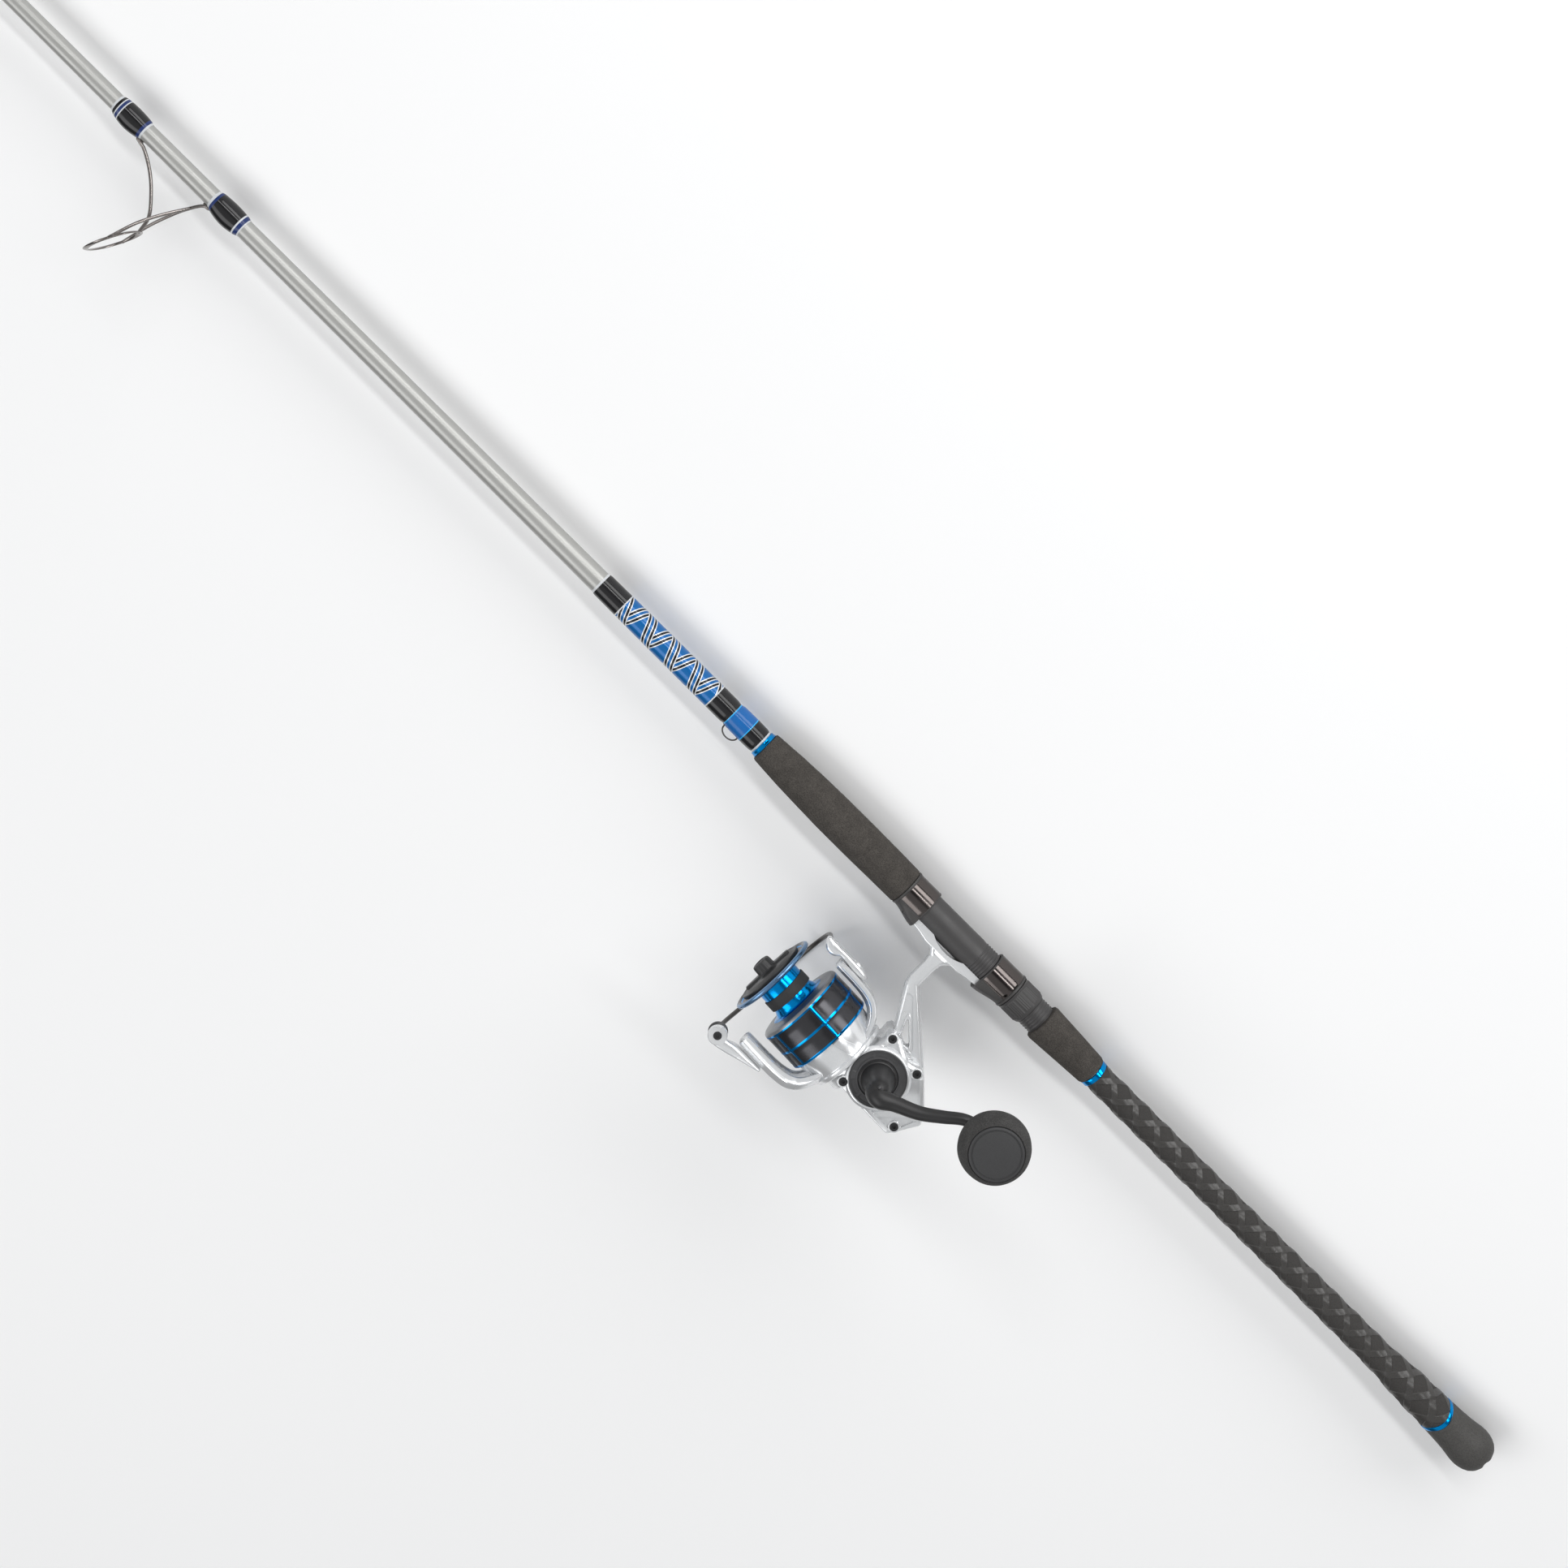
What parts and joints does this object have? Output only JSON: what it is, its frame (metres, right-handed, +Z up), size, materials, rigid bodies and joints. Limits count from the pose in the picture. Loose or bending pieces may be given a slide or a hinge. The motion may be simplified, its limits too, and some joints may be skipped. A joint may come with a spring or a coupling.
{
  "type": "spinning rod and reel",
  "caption": "One-piece spinning rod with cross-wrapped rear grip, foam foregrip and wire guides, carrying a fixed-spool reel with a folding bail and a round-knob crank.",
  "frame": {"origin": "middle of the floor area under the rod and reel, at floor level", "axes": "+X from the tip towards the butt along the rod; +Z up; the rod and reel lie on their side with the crank up, and the reel hangs towards -Y"},
  "size_m": [2.1348, 0.155, 0.1372],
  "materials": {
    "blank_finish": "satin clear coat over a silver-grey rod blank",
    "butt_rubber": "pebbled dark rubber",
    "blue_anodised": "bright blue anodised",
    "grip_tube": "raised cross-wrapped shrink tube",
    "eva_foam": "fine charcoal EVA foam",
    "seat_graphite": "graphite-filled nylon",
    "hood_chrome": "dark chrome",
    "dark_steel": "polished gunmetal",
    "blue_thread": "blue thread under varnish",
    "pattern_thread": "crossed threads over metallic blue under varnish",
    "wrap_epoxy": "black thread under clear epoxy",
    "silver_alloy": "bright painted silver",
    "dark_cover": "satin dark grey",
    "black_screws": "black oxide",
    "steel": "ground",
    "gear_brass": "machined",
    "nylon": "moulded nylon",
    "arm_black": "matte black",
    "cap_plastic": "fine-grained dark plastic",
    "roller_steel": "polished",
    "spool_anodised": "dark grey anodised with bright blue arbor, edges and ribs",
    "band_rubber": "smooth",
    "drag_felt": "oiled felt and steel discs",
    "drag_plastic": "moulded black"
  },
  "bodies": {
    "rod": {"blank": "blank_finish", "butt_cap": "butt_rubber", "butt_ring": "blue_anodised", "rear_grip": "grip_tube", "rear_grip_ring": "blue_anodised", "rear_eva_grip": "eva_foam", "reel_seat": "seat_graphite", "fixed_hood": "hood_chrome", "fore_grip": "eva_foam", "winding_check": "blue_anodised", "hook_keeper": "dark_steel", "keeper_wrap": "blue_thread", "decorative_wrap": "pattern_thread", "stripper_guide": "dark_steel", "stripper_guide_front_wrap": "wrap_epoxy", "stripper_guide_rear_wrap": "wrap_epoxy", "guide_2": "dark_steel", "guide_2_front_wrap": "wrap_epoxy", "guide_2_rear_wrap": "wrap_epoxy", "guide_3": "dark_steel", "guide_3_wrap": "wrap_epoxy", "guide_4": "dark_steel", "guide_4_wrap": "wrap_epoxy", "guide_5": "dark_steel", "guide_5_wrap": "wrap_epoxy", "tip_top": "dark_steel", "tip_wrap": "wrap_epoxy", "housing": "silver_alloy", "side_cover": "silver_alloy", "cover_ring": "dark_cover", "far_side_cap": "dark_cover", "housing_screw_1": "black_screws", "housing_screw_2": "black_screws", "housing_screw_3": "black_screws", "housing_screw_4": "black_screws", "drive_bearing_far": "steel", "drive_bearing_near": "steel", "pinion_bearing": "steel", "anti_reverse_clutch": "steel"},
    "locking_hood": {"sliding_hood": "hood_chrome"},
    "locking_nut": {"lock_nut": "seat_graphite"},
    "crank": {"drive_gear": "gear_brass", "handle_arm": "arm_black"},
    "knob": {"handle_knob": "eva_foam", "knob_cap": "cap_plastic"},
    "stroke_gear": {"oscillation_gear": "nylon"},
    "rotor": {"rotor": "silver_alloy", "pinion_gear": "gear_brass", "rotor_nut": "steel"},
    "bail": {"bail_arm": "silver_alloy", "bail_lever": "silver_alloy", "bail_wire": "dark_steel", "roller_screw": "black_screws"},
    "roller": {"line_roller": "roller_steel"},
    "shaft": {"main_shaft": "steel", "oscillation_slider": "steel"},
    "spool": {"spool": "spool_anodised", "arbor_band": "band_rubber", "drag_stack": "drag_felt"},
    "drag": {"drag_knob": "drag_plastic"}
  },
  "joints": [
    {"name": "handle_spin", "type": "hinge", "parent": "rod", "child": "crank", "pos_m": [0.62536, -0.02121, 0.054], "axis": [0, 0.4147, 0.91], "continuous": true},
    {"name": "knob_spin", "type": "hinge", "parent": "crank", "child": "knob", "pos_m": [0.69076, 0.03711, 0.11534], "axis": [0, 0.4147, 0.91], "continuous": true},
    {"name": "rotor_spin", "type": "hinge", "parent": "rod", "child": "rotor", "pos_m": [0.62515, -0.02649, 0.05641], "axis": [0.9994, -0.0318, 0.0145], "continuous": true},
    {"name": "stroke_gear_spin", "type": "hinge", "parent": "rod", "child": "stroke_gear", "pos_m": [0.6427, -0.02974, 0.0469], "axis": [0, 0.4147, 0.91], "continuous": true},
    {"name": "bail_turn", "type": "hinge", "parent": "rotor", "child": "bail", "pos_m": [0.56919, -0.02471, 0.0556], "axis": [0.0349, 0.9094, -0.4144], "range_deg": [0, 105]},
    {"name": "line_roller_spin", "type": "hinge", "parent": "bail", "child": "roller", "pos_m": [0.5401, -0.06813, 0.07538], "axis": [0, 0.4147, 0.91], "continuous": true},
    {"name": "spool_stroke", "type": "slide", "parent": "rod", "child": "shaft", "axis": [-0.9994, 0.0318, -0.0145], "range_m": [0, 0.014]},
    {"name": "spool_slip", "type": "hinge", "parent": "shaft", "child": "spool", "pos_m": [0.62515, -0.02649, 0.05641], "axis": [0.9994, -0.0318, 0.0145], "continuous": true},
    {"name": "drag_knob_turn", "type": "hinge", "parent": "shaft", "child": "drag", "pos_m": [0.62515, -0.02649, 0.05641], "axis": [0.9994, -0.0318, 0.0145], "range_deg": [-180, 720]},
    {"name": "hood_slide", "type": "slide", "parent": "rod", "child": "locking_hood", "axis": [1, 0, 0], "range_m": [0, 0.009]},
    {"name": "lock_nut_turn", "type": "hinge", "parent": "locking_hood", "child": "locking_nut", "pos_m": [0.65635, 0.06323, 0.01552], "axis": [1, 0, 0], "range_deg": [0, 2160]}
  ],
  "couplings": [
    {"joint": "rotor_spin", "follows": "handle_spin", "ratio": 4.5},
    {"joint": "stroke_gear_spin", "follows": "handle_spin", "ratio": -0.5},
    {"joint": "lock_nut_turn", "follows": "hood_slide", "rad_per_m": 4188.8}
  ]
}
